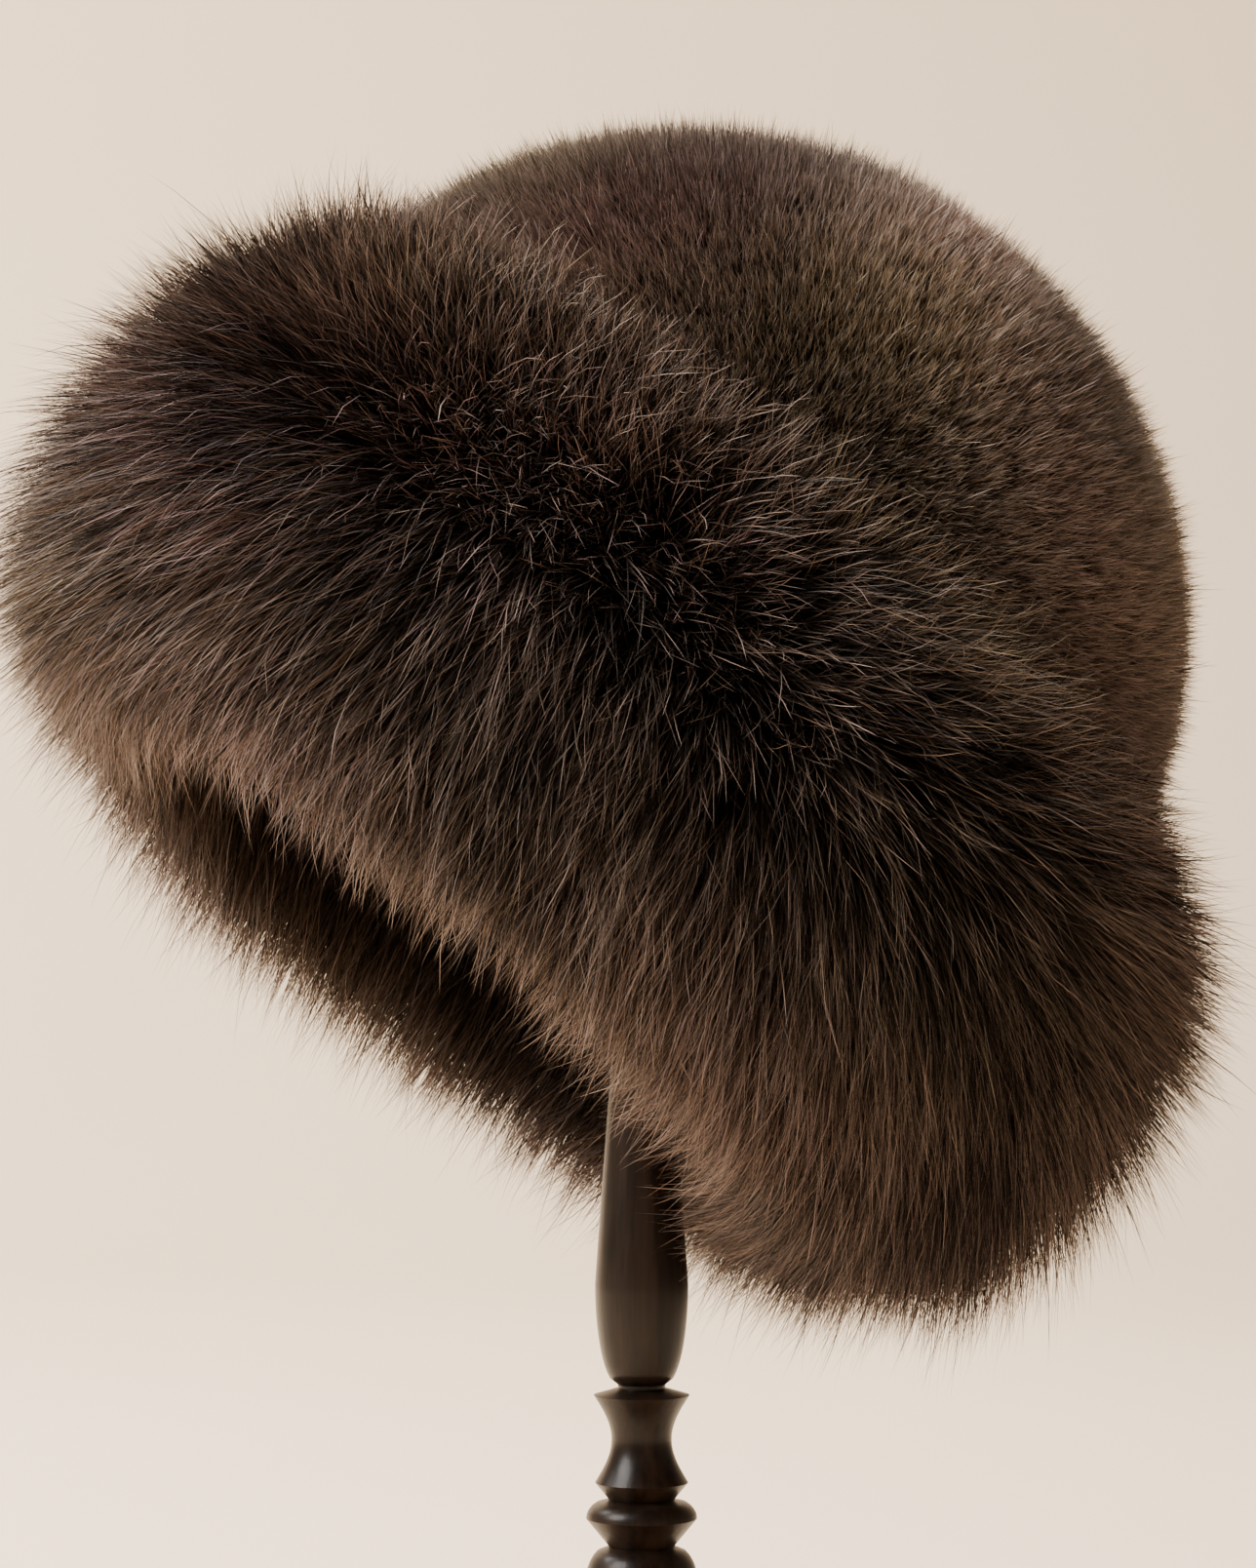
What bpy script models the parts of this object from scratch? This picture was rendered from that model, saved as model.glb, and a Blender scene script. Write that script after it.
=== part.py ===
"""Fur hat on a turned wooden stand: a short-pile dome crown and a deep brim of long hair, set aslant.

The stand is three turned pieces: a round base, a slender post and a domed cap that the hat rests on. The
hat is a plush crown in two parts, a brim wall below its seam, and the brim's fur, whose locks stand on
that wall.
Sizes are in metres and angles in degrees. The origin is the centre of the base's underside, with +Z up.
"""

import math
import random

import bmesh
import bpy
from mathutils import Matrix, Vector
from mathutils.bvhtree import BVHTree

# Clearance between touching pieces
GAP = 0.0003

# Stand
STAND_HEIGHT = 0.4025
BASE_RADIUS = 0.080
BASE_EDGE = 0.012
BASE_RISE = 0.014
COLLAR_RADIUS = 0.015
TURNED_LENGTH = 0.182
POST_RADIUS = 0.0124
SHAFT_TOP_RADIUS = 0.0062
CAP_RADIUS = 0.045
CAP_CURVE = 0.050
CAP_UNDERCUT = 0.009
CAP_NECK_RADIUS = 0.013
TENON_RADIUS = 0.0045
TENON_LENGTH = 0.010

# Hat, measured about its own axis from the seam between crown and brim
HEAD_RADIUS = 0.092
CROWN_HEIGHT = 0.0765
CROWN_PILE_TOP = 0.012
CROWN_PILE_SEAM = 0.0172
CROWN_SPLIT = 0.5
BRIM_WALL = 0.003
BRIM_DROP = 0.085
FUR_REACH = 0.0533
FUR_LOW_SIDE_REACH = 0.0035
FUR_RISE = 0.003
FUR_CREST = 0.010
FUR_BACK_CREST = 0.0055
FUR_OVERHANG = 0.0405
FUR_BACK_OVERHANG = 0.0075
FUR_SAG = 0.001
FUR_FULLNESS = 2.7
FUR_EDGE = 0.002
LOCK_DEPTH = 0.009

# How the hat sits on the stand: it tips to its right, leans back, and its axis passes beside the post
TIP_DEG = 37.3
LEAN_DEG = 8.5
HAT_OFFSET_X = 0.0239
HAT_OFFSET_Y = 0.0039

# Facets
HAT_SIDES = 36
CROWN_SIDE_ROWS = 4
CROWN_TOP_ROWS = 6
LOCK_ROWS = 13
BASE_SIDES = 40
POST_SIDES = 20
CAP_SIDES = 28
LOCK_SEED = 7

CROWN_COLOUR = (0.085, 0.060, 0.045, 1.0)
FUR_COLOUR = (0.060, 0.041, 0.030, 1.0)
WALL_COLOUR = (0.030, 0.022, 0.018, 1.0)
WOOD_COLOUR = (0.035, 0.020, 0.014, 1.0)

# The post's turning, from the plain shaft down to its foot. Lengths are shares of TURNED_LENGTH and radii
# shares of POST_RADIUS. A straight member is a cone, a swell is a quarter ellipse that ends steep at its
# thin end, and a hollow is a cove that dips below its ends by the share in the last column.
TURNING = (
    # member, form, length, top radius, foot radius, dip, steps
    ("vase_taper", "straight", 0.273, 0.550, 0.840, 0.0, 3),
    ("vase_bulge", "swell_in", 0.123, 0.840, 0.430, 0.0, 6),
    ("vase_neck", "straight", 0.004, 0.430, 0.430, 0.0, 1),
    ("spool_top", "straight", 0.009, 0.430, 0.865, 0.0, 1),
    ("spool_cove", "hollow", 0.107, 0.865, 0.840, 0.310, 7),
    ("spool_foot", "straight", 0.021, 0.840, 0.590, 0.0, 1),
    ("ring_top", "swell_out", 0.023, 0.590, 1.000, 0.0, 3),
    ("ring_foot", "straight", 0.034, 1.000, 0.590, 0.0, 1),
    ("ball_top", "swell_out", 0.047, 0.590, 1.020, 0.0, 4),
    ("ball_foot", "swell_in", 0.047, 1.020, 0.590, 0.0, 4),
    ("urn_shoulder", "swell_out", 0.070, 0.590, 0.900, 0.0, 3),
    ("urn_taper", "straight", 0.130, 0.900, 0.560, 0.0, 2),
    ("foot_cove", "hollow", 0.078, 0.560, 0.960, 0.120, 4),
    ("foot_ring", "straight", 0.034, 0.960, 0.960, 0.0, 1),
)


def clear_scene():
    for old in list(bpy.data.objects):
        bpy.data.objects.remove(old)


def material(name, colour, roughness):
    made = bpy.data.materials.new(name)
    made.use_nodes = True
    shader = made.node_tree.nodes["Principled BSDF"]
    shader.inputs["Base Color"].default_value = colour
    shader.inputs["Roughness"].default_value = roughness
    shader.inputs["Metallic"].default_value = 0.0
    return made


def add_object(name, mesh_editor, finish, parent=None):
    """A finished bmesh as a named object, its faces pointing outwards and its round sides smooth."""
    bmesh.ops.recalc_face_normals(mesh_editor, faces=mesh_editor.faces)
    mesh = bpy.data.meshes.new(name)
    mesh_editor.to_mesh(mesh)
    mesh_editor.free()
    mesh.materials.append(finish)
    mesh.shade_smooth()
    mesh.set_sharp_from_angle(angle=math.radians(40))
    made = bpy.data.objects.new(name, mesh)
    made.parent = parent
    bpy.context.scene.collection.objects.link(made)
    return made


def turned(outline, sides, closed=False):
    """Spins an outline of (radius, height) points about Z. An open outline begins and ends on the axis."""
    spun = bmesh.new()
    corners = [spun.verts.new((radius, 0, height)) for radius, height in outline]
    pairs = list(zip(corners, corners[1:]))
    if closed:
        pairs.append((corners[-1], corners[0]))
    edges = [spun.edges.new(pair) for pair in pairs]
    bmesh.ops.spin(
        spun,
        geom=corners + edges,
        cent=(0, 0, 0),
        axis=(0, 0, 1),
        angle=2 * math.pi,
        steps=sides,
        use_merge=False,
    )
    bmesh.ops.remove_doubles(spun, verts=spun.verts, dist=1e-6)
    return spun


# Stand


def base_top():
    return BASE_EDGE + BASE_RISE


def base_outline():
    """A flat foot, a rounded edge, and an ogee that rises to the collar round the post's tenon."""
    edge_round = 0.35 * BASE_EDGE
    rise_start = BASE_RADIUS - 0.7 * BASE_EDGE
    outline = [(0, 0), (BASE_RADIUS - edge_round, 0), (BASE_RADIUS, edge_round)]
    outline += [(BASE_RADIUS, BASE_EDGE - edge_round), (BASE_RADIUS - edge_round, BASE_EDGE)]
    steps = 6
    for step in range(steps + 1):
        share = step / steps
        radius = rise_start + (COLLAR_RADIUS - rise_start) * share
        outline.append((radius, BASE_EDGE + BASE_RISE * share * share * (3 - 2 * share)))
    socket = TENON_RADIUS + GAP
    floor = base_top() - TENON_LENGTH - GAP
    return outline + [(socket, base_top()), (socket, floor), (0, floor)]


def member_radius(form, top, foot, dip, share):
    """A turned member's radius at a share of its length from the top."""
    if form == "swell_in":
        return foot + (top - foot) * math.sqrt(max(0.0, 1 - share * share))
    if form == "swell_out":
        return top + (foot - top) * math.sqrt(max(0.0, 1 - (1 - share) ** 2))
    return top + (foot - top) * share - dip * math.sin(math.pi * share) * (form == "hollow")


def cap_drop():
    """How far the cap's rim lies below its top."""
    return CAP_CURVE - math.sqrt(CAP_CURVE**2 - CAP_RADIUS**2)


def cap_neck():
    """The height of the cap's underside, where the post's shoulder meets it."""
    return STAND_HEIGHT - cap_drop() - CAP_UNDERCUT


def post_outline():
    """The post from its top tenon, down the plain shaft and the turned members, to its foot tenon."""
    foot = base_top() + GAP
    turning_top = foot + TURNED_LENGTH
    shoulder = cap_neck() - GAP
    outline = [(0, shoulder + TENON_LENGTH), (TENON_RADIUS, shoulder + TENON_LENGTH)]
    outline += [(TENON_RADIUS, shoulder), (SHAFT_TOP_RADIUS, shoulder)]
    height = turning_top
    for _, form, length, top, thin, dip, steps in TURNING:
        for step in range(steps + 1):
            share = step / steps
            radius = POST_RADIUS * member_radius(form, top, thin, dip, share)
            point = (radius, height - share * length * TURNED_LENGTH)
            if math.dist(point, outline[-1]) > 1e-6:
                outline.append(point)
        height -= length * TURNED_LENGTH
    outline[-1] = (outline[-1][0], foot)
    return outline + [(TENON_RADIUS, foot), (TENON_RADIUS, foot - TENON_LENGTH), (0, foot - TENON_LENGTH)]


def cap_outline():
    """A mushroom cap: a domed top that bears the hat, and an underside coned in to the post."""
    rim = STAND_HEIGHT - cap_drop()
    centre = STAND_HEIGHT - CAP_CURVE
    half_angle = math.asin(CAP_RADIUS / CAP_CURVE)
    steps = 8
    angles = [half_angle * step / steps for step in range(steps + 1)]
    outline = [(CAP_CURVE * math.sin(a), centre + CAP_CURVE * math.cos(a)) for a in angles]
    outline.append((CAP_RADIUS - 0.25 * CAP_UNDERCUT, rim - 0.35 * CAP_UNDERCUT))
    outline.append((CAP_NECK_RADIUS, cap_neck()))
    socket = TENON_RADIUS + GAP
    floor = cap_neck() + TENON_LENGTH
    return outline + [(socket, cap_neck()), (socket, floor), (0, floor)]


def build_stand():
    wood = material("stained_wood", WOOD_COLOUR, 0.35)
    add_object("stand_base", turned(base_outline(), BASE_SIDES), wood)
    add_object("stand_post", turned(post_outline(), POST_SIDES), wood)
    add_object("stand_cap", turned(cap_outline(), CAP_SIDES), wood)


# Hat


def crown_seam_radius():
    return HEAD_RADIUS + CROWN_PILE_SEAM


def crown_top():
    return CROWN_HEIGHT + CROWN_PILE_TOP


def crown_curve():
    """The radius of the crown's outer sphere, and the height of its centre."""
    radius = (crown_seam_radius() ** 2 + crown_top() ** 2) / (2 * crown_top())
    return radius, crown_top() - radius


def on_crown(angle, clearance=0.0):
    """A point (radius, height) on the crown's outer sphere, at an angle above its centre."""
    radius, centre = crown_curve()
    reach = radius + clearance
    return reach * math.cos(angle), centre + reach * math.sin(angle)


def crown_angle(height):
    radius, centre = crown_curve()
    return math.asin((height - centre) / radius)


def lining_point(height):
    """A point (radius, height) on the dome inside the crown, which fits the head."""
    return HEAD_RADIUS * math.sqrt(max(0.0, 1 - (height / CROWN_HEIGHT) ** 2)), height


def arc_heights(foot, top, rows, crest):
    """Heights from foot to top, spaced evenly by their angle on a dome of height crest."""
    low, high = math.asin(foot / crest), math.asin(min(1.0, top / crest))
    return [crest * math.sin(low + (high - low) * row / rows) for row in range(rows + 1)]


def crown_side_outline():
    """The crown's wall from the seam up to the top's edge: the pile outside and the lining inside."""
    outer = [on_crown(crown_angle(0.0))]
    for height in arc_heights(FUR_RISE, CROWN_SPLIT * crown_top(), CROWN_SIDE_ROWS, crown_top()):
        outer.append(on_crown(crown_angle(height)))
    inner = arc_heights(0.0, CROWN_SPLIT * CROWN_HEIGHT, CROWN_SIDE_ROWS, CROWN_HEIGHT)
    return outer + [lining_point(height) for height in reversed(inner)]


def crown_top_outline():
    """The crown's top: a domed disc of plush that starts a clearance above the side."""
    heights = arc_heights(CROWN_SPLIT * crown_top() + GAP, crown_top(), CROWN_TOP_ROWS, crown_top())
    outer = [on_crown(crown_angle(height)) for height in heights]
    inner = arc_heights(CROWN_SPLIT * CROWN_HEIGHT + GAP, CROWN_HEIGHT, CROWN_TOP_ROWS, CROWN_HEIGHT)
    outer[-1] = (0, crown_top())
    lining = [lining_point(height) for height in inner]
    lining[-1] = (0, CROWN_HEIGHT)
    return outer[::-1] + lining


def hat_rotation():
    tip = Matrix.Rotation(math.radians(TIP_DEG), 4, "Y")
    return tip @ Matrix.Rotation(-math.radians(LEAN_DEG), 4, "X")


def seat_height(crown):
    """The height of the hat's origin at which the crown's top rests on the cap, a clearance above it."""
    lining = BVHTree.FromBMesh(crown)
    to_hat = hat_rotation().inverted()
    cap_centre = Vector((0, 0, STAND_HEIGHT - CAP_CURVE))
    low, high = STAND_HEIGHT - crown_top() - HEAD_RADIUS, STAND_HEIGHT
    for _ in range(40):
        middle = (low + high) / 2
        inside = to_hat @ (cap_centre - Vector((HAT_OFFSET_X, HAT_OFFSET_Y, middle)))
        if lining.find_nearest(inside)[3] < CAP_CURVE + GAP:
            low = middle
        else:
            high = middle
    return high


def wall_outer():
    return HEAD_RADIUS + BRIM_WALL


def wall_outline():
    """The brim's wall: a band of doubled cloth below the crown's seam."""
    top, bottom = -GAP, -BRIM_DROP
    return [(HEAD_RADIUS, top), (wall_outer(), top), (wall_outer(), bottom), (HEAD_RADIUS, bottom)]


def fur_crest(turn):
    """The height of the fur's upper edge at a turn round the hat: it stands higher at the back."""
    return FUR_RISE + FUR_CREST + FUR_BACK_CREST * math.sin(turn)


def fur_edge(turn):
    """The height of the fur's lower edge: it hangs lower at the back and sags towards the low side."""
    overhang = FUR_OVERHANG + FUR_BACK_OVERHANG * math.sin(turn) + FUR_SAG * math.cos(turn)
    return -BRIM_DROP - overhang


def fur_reach(turn):
    """How far the fur stands out from the wall: farther on the low side than on the high side."""
    return FUR_REACH + FUR_LOW_SIDE_REACH * math.cos(turn)


def fur_point(turn, slope, sink=0.0):
    """A point (radius, height) on the fur's outer form, sunk by a depth below it.

    Its section is half an ellipse above its widest level, and fuller than an ellipse below.
    """
    half = (fur_crest(turn) - fur_edge(turn)) / 2
    middle = fur_crest(turn) - half
    power = 2 / FUR_FULLNESS if slope < 0 else 1.0
    outward = max(0.0, math.cos(slope)) ** power
    upward = math.copysign(abs(math.sin(slope)) ** power, slope)
    return wall_outer() + (fur_reach(turn) - sink) * outward, middle + (half - sink) * upward


def placed(turn, point):
    return Vector((point[0] * math.cos(turn), point[0] * math.sin(turn), point[1]))


def outside_crown(place, clearance):
    """The place moved straight out of the crown's pile, if it lies inside it."""
    radius, centre = crown_curve()
    middle = Vector((0, 0, centre))
    away = place - middle
    if away.length >= radius + clearance:
        return place
    return middle + away.normalized() * (radius + clearance)


def lock_slope(row):
    """The slope of a row of lock roots on the fur's form, from the crown's side down to the underside."""
    first, last = math.radians(62), math.radians(-90)
    return first + (last - first) * (row - 1) / (LOCK_ROWS - 1)


def root_place(row, turn):
    """Where the valleys between locks lie. The first row edges the fur against the crown."""
    if row == 0:
        return placed(turn, on_crown(crown_angle(FUR_RISE), GAP + FUR_EDGE))
    return outside_crown(placed(turn, fur_point(turn, lock_slope(row), LOCK_DEPTH)), GAP + FUR_EDGE)


def add_lock(fur, corners, tip):
    """A lock of fur: its root corners, a waist drawn in and lifted towards the tip, and the tip."""
    middle = sum((corner.co for corner in corners), Vector()) / len(corners)
    waist = []
    for corner in corners:
        waist.append(fur.verts.new(middle + 0.55 * (corner.co - middle) + 0.55 * (tip - middle)))
    point = fur.verts.new(tip)
    for index, corner in enumerate(corners):
        after = (index + 1) % len(corners)
        fur.faces.new((corner, corners[after], waist[after], waist[index]))
        fur.faces.new((waist[index], waist[after], point))


def lock_tip(row, turn, chance):
    """A lock's tip. Above the parting the locks are combed up, and below it down and round the edge."""
    parting = math.radians(15)
    slope = lock_slope(max(row, 1))
    comb = math.radians(9) * (1 if slope > parting else -1)
    comb *= min(1.0, abs(slope - parting) / math.radians(20))
    proud = LOCK_DEPTH * chance.uniform(-0.25, 0.25)
    aside = turn + math.radians(chance.uniform(-1.6, 1.6))
    return outside_crown(placed(aside, fur_point(turn, slope + comb, -proud)), 2 * GAP)


def ring_of(fur, point):
    turns = [2 * math.pi * index / HAT_SIDES for index in range(HAT_SIDES)]
    return [fur.verts.new(placed(turn, point)) for turn in turns]


def fur_mesh():
    """The brim's fur: staggered rows of locks, fused to a backing round the wall's outside and edge."""
    chance = random.Random(LOCK_SEED)
    fur = bmesh.new()
    step = 2 * math.pi / HAT_SIDES
    rows = []
    for row in range(LOCK_ROWS + 1):
        shift = 0.5 * (row % 2)
        rows.append([])
        for index in range(HAT_SIDES):
            rows[row].append(fur.verts.new(root_place(row, step * (index + shift))))
    for row in range(LOCK_ROWS + 1):
        odd = row % 2
        for index in range(HAT_SIDES):
            left, right = rows[row][index], rows[row][(index + 1) % HAT_SIDES]
            beside = (index + odd) % HAT_SIDES
            turn = step * (index + 0.5 * odd + 0.5)
            above = [rows[row - 1][beside]] if row > 0 else []
            below = [rows[row + 1][beside]] if row < LOCK_ROWS else []
            add_lock(fur, [left, *below, right, *above], lock_tip(row, turn, chance))
    seam = crown_seam_radius() + GAP
    backing = wall_outer() + GAP
    lip = HEAD_RADIUS - GAP
    under = -BRIM_DROP - GAP
    inner = [
        on_crown(crown_angle(FUR_RISE), GAP),
        (seam, -GAP),
        (backing, -GAP),
        (backing, under),
        (lip, under),
        (lip, under - 0.6 * FUR_OVERHANG),
    ]
    loops = [rows[0]] + [ring_of(fur, point) for point in inner] + [rows[LOCK_ROWS]]
    for upper, lower in zip(loops, loops[1:]):
        for index in range(HAT_SIDES):
            after = (index + 1) % HAT_SIDES
            fur.faces.new((upper[index], upper[after], lower[after], lower[index]))
    return fur


def build_hat():
    plush = material("crown_plush", CROWN_COLOUR, 0.9)
    top = turned(crown_top_outline(), HAT_SIDES)
    hat = bpy.data.objects.new("hat", None)
    bpy.context.scene.collection.objects.link(hat)
    hat.matrix_world = Matrix.Translation((HAT_OFFSET_X, HAT_OFFSET_Y, seat_height(top))) @ hat_rotation()
    add_object("crown_top", top, plush, hat)
    add_object("crown_side", turned(crown_side_outline(), HAT_SIDES, closed=True), plush, hat)
    wall = turned(wall_outline(), HAT_SIDES, closed=True)
    add_object("brim_wall", wall, material("brim_cloth", WALL_COLOUR, 0.9), hat)
    add_object("brim_fur", fur_mesh(), material("long_fur", FUR_COLOUR, 0.8), hat)


clear_scene()
build_stand()
build_hat()
bpy.context.view_layer.update()
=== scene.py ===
import math

import bpy
import numpy as np
from mathutils import Matrix, Vector


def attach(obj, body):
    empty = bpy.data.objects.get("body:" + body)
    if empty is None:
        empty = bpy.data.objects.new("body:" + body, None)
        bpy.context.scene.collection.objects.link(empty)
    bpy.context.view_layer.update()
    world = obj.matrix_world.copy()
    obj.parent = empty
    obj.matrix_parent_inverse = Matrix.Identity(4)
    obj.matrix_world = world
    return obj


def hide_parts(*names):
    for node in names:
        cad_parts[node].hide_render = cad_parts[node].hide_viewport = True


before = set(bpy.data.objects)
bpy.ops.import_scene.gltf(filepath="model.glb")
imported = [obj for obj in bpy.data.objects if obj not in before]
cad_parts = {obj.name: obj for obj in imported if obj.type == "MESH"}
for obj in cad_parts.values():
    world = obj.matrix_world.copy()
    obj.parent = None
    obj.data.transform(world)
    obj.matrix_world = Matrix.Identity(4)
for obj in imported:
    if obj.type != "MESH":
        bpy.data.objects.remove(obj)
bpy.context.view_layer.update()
for picked in list(bpy.context.selected_objects):
    picked.select_set(False)

# The stand: a slender post turned in hardwood between a round base and a mushroom cap that the hat
# rests on. All three are stained nearly black and rubbed to a satin polish. Each is a turned outline
# spun about the post's axis, with a hair's clearance at the joints.
STAND_HEIGHT = 0.4025
BASE_RADIUS = 0.080
BASE_EDGE = 0.012
BASE_RISE = 0.014
COLLAR_RADIUS = 0.015
TURNED_LENGTH = 0.182
POST_RADIUS = 0.0124
SHAFT_TOP_RADIUS = 0.0062
CAP_RADIUS = 0.045
CAP_CURVE = 0.050
CAP_UNDERCUT = 0.009
CAP_NECK_RADIUS = 0.013
JOINT_GAP = 0.0003
CORNER_STEPS = 4
CURVE_STEPS = 16
BASE_SIDES = 72
POST_SIDES = 40
CAP_SIDES = 48
CREASE = math.radians(38)
WELD = 0.00001
TURNING = (
    # form, length, top radius, foot radius, dip, steps
    # The length is a share of the turned length, the radii and the dip are shares of the post's radius.
    ("straight", 0.273, 0.550, 0.840, 0.0, 6),
    ("swell_in", 0.123, 0.840, 0.430, 0.0, 16),
    ("straight", 0.004, 0.430, 0.430, 0.0, 1),
    ("straight", 0.009, 0.430, 0.865, 0.0, 2),
    ("hollow", 0.107, 0.865, 0.840, 0.310, 18),
    ("straight", 0.021, 0.840, 0.590, 0.0, 2),
    ("swell_out", 0.023, 0.590, 1.000, 0.0, 6),
    ("straight", 0.034, 1.000, 0.590, 0.0, 3),
    ("swell_out", 0.047, 0.590, 1.020, 0.0, 8),
    ("swell_in", 0.047, 1.020, 0.590, 0.0, 8),
    ("swell_out", 0.070, 0.590, 0.900, 0.0, 8),
    ("straight", 0.130, 0.900, 0.560, 0.0, 4),
    ("hollow", 0.078, 0.560, 0.960, 0.120, 8),
    ("straight", 0.034, 0.960, 0.960, 0.0, 1),
)


def link(tree, source, target):
    tree.links.new(source, target)


def shader_group(name, inputs, outputs):
    """An empty shader group with named sockets: returns its tree and its input and output nodes."""
    tree = bpy.data.node_groups.new(name, "ShaderNodeTree")
    for label, kind, value in inputs:
        socket = tree.interface.new_socket(label, in_out="INPUT", socket_type=kind)
        if value is not None:
            socket.default_value = value
    for label, kind in outputs:
        tree.interface.new_socket(label, in_out="OUTPUT", socket_type=kind)
    return tree, tree.nodes.new("NodeGroupInput"), tree.nodes.new("NodeGroupOutput")


def fresh_material(name, roughness, specular=0.5):
    """A new Principled material: returns the material, its tree and its shader node."""
    made = bpy.data.materials.new(name)
    made.use_nodes = True
    shader = made.node_tree.nodes["Principled BSDF"]
    shader.inputs["Roughness"].default_value = roughness
    shader.inputs["Specular IOR Level"].default_value = specular
    return made, made.node_tree, shader


def ramp(tree, stops, source, blend="LINEAR"):
    """A colour ramp with the given (place, colour) stops, fed from a socket."""
    node = tree.nodes.new("ShaderNodeValToRGB")
    node.color_ramp.interpolation = blend
    points = node.color_ramp.elements
    while len(points) < len(stops):
        points.new(0.5)
    for point, (place, colour) in zip(points, stops):
        point.position = place
        point.color = (*colour, 1.0)
    link(tree, source, node.inputs["Fac"])
    return node.outputs["Color"]


def math_node(tree, kind, first, second=0.5, third=0.5):
    """A Math node whose inputs are sockets or plain numbers."""
    node = tree.nodes.new("ShaderNodeMath")
    node.operation = kind
    for slot, value in zip(node.inputs, (first, second, third)):
        if isinstance(value, (int, float)):
            slot.default_value = value
        else:
            link(tree, value, slot)
    return node.outputs[0]


def noise(tree, vector, scale, detail=4.0, roughness=0.55):
    node = tree.nodes.new("ShaderNodeTexNoise")
    node.inputs["Scale"].default_value = scale
    node.inputs["Detail"].default_value = detail
    node.inputs["Roughness"].default_value = roughness
    link(tree, vector, node.inputs["Vector"])
    return node.outputs["Fac"]


def stretched(tree, vector, scale):
    """A Mapping node that scales a pattern's coordinates by the given amounts."""
    node = tree.nodes.new("ShaderNodeMapping")
    node.inputs["Scale"].default_value = scale
    link(tree, vector, node.inputs["Vector"])
    return node.outputs["Vector"]


def mixed(tree, kind, amount, first, second):
    """A colour Mix node: amount, first and second are sockets, numbers or colours."""
    node = tree.nodes.new("ShaderNodeMix")
    node.data_type = "RGBA"
    node.blend_type = kind
    sockets = (node.inputs[0], node.inputs[6], node.inputs[7])
    for slot, value in zip(sockets, (amount, first, second)):
        if isinstance(value, (int, float)):
            slot.default_value = value
        elif isinstance(value, tuple):
            slot.default_value = (*value, 1.0)
        else:
            link(tree, value, slot)
    return node.outputs[2]


grain_tree, grain_in, grain_out = shader_group(
    "wood_grain",
    [("Vector", "NodeSocketVector", None)],
    [("Figure", "NodeSocketFloat"), ("Pores", "NodeSocketFloat")],
)
grain_place = grain_in.outputs["Vector"]
long_grain = noise(grain_tree, stretched(grain_tree, grain_place, (160, 160, 9)), 1.0, 5.0)
pores = noise(grain_tree, stretched(grain_tree, grain_place, (900, 900, 45)), 1.0, 2.0)
figured = math_node(grain_tree, "MULTIPLY_ADD", pores, 0.35, long_grain)
link(grain_tree, figured, grain_out.inputs["Figure"])
link(grain_tree, pores, grain_out.inputs["Pores"])


def stained_wood(name, grain_turn):
    """Dark stained, polished hardwood, with its grain upright or turned to lie flat."""
    made, tree, shader = fresh_material(name, 0.36, 0.2)
    place = tree.nodes.new("ShaderNodeTexCoord").outputs["Object"]
    turned = tree.nodes.new("ShaderNodeMapping")
    turned.inputs["Rotation"].default_value = (0.0, grain_turn, 0.0)
    link(tree, place, turned.inputs["Vector"])
    figure = tree.nodes.new("ShaderNodeGroup")
    figure.node_tree = grain_tree
    link(tree, turned.outputs["Vector"], figure.inputs["Vector"])
    stain = ramp(
        tree,
        [
            (0.42, (0.0025, 0.0013, 0.0008)),
            (0.62, (0.0080, 0.0043, 0.0026)),
            (0.82, (0.019, 0.0105, 0.0068)),
        ],
        figure.outputs["Figure"],
    )
    bare_edge = tree.nodes.new("ShaderNodeNewGeometry").outputs["Pointiness"]
    worn = math_node(tree, "MULTIPLY", math_node(tree, "SUBTRACT", bare_edge, 0.53), 5.0)
    worn = math_node(tree, "MINIMUM", math_node(tree, "MAXIMUM", worn, 0.0), 0.5)
    link(tree, mixed(tree, "MIX", worn, stain, (0.032, 0.018, 0.012)), shader.inputs["Base Color"])
    polish = math_node(tree, "MULTIPLY_ADD", noise(tree, place, 60, 3.0), 0.22, 0.24)
    link(tree, polish, shader.inputs["Roughness"])
    lathe_marks = noise(tree, stretched(tree, place, (2, 2, 1500)), 1.0, 1.0)
    relief = math_node(tree, "MULTIPLY_ADD", lathe_marks, 0.5, figure.outputs["Pores"])
    bump = tree.nodes.new("ShaderNodeBump")
    bump.inputs["Strength"].default_value = 0.10
    bump.inputs["Distance"].default_value = 0.0004
    link(tree, relief, bump.inputs["Height"])
    link(tree, bump.outputs["Normal"], shader.inputs["Normal"])
    shader.inputs["Coat Weight"].default_value = 0.05
    shader.inputs["Coat Roughness"].default_value = 0.15
    return made


upright_wood = stained_wood("stained_hardwood", 0.0)
flat_wood = stained_wood("stained_hardwood_flat", math.pi / 2)


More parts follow.
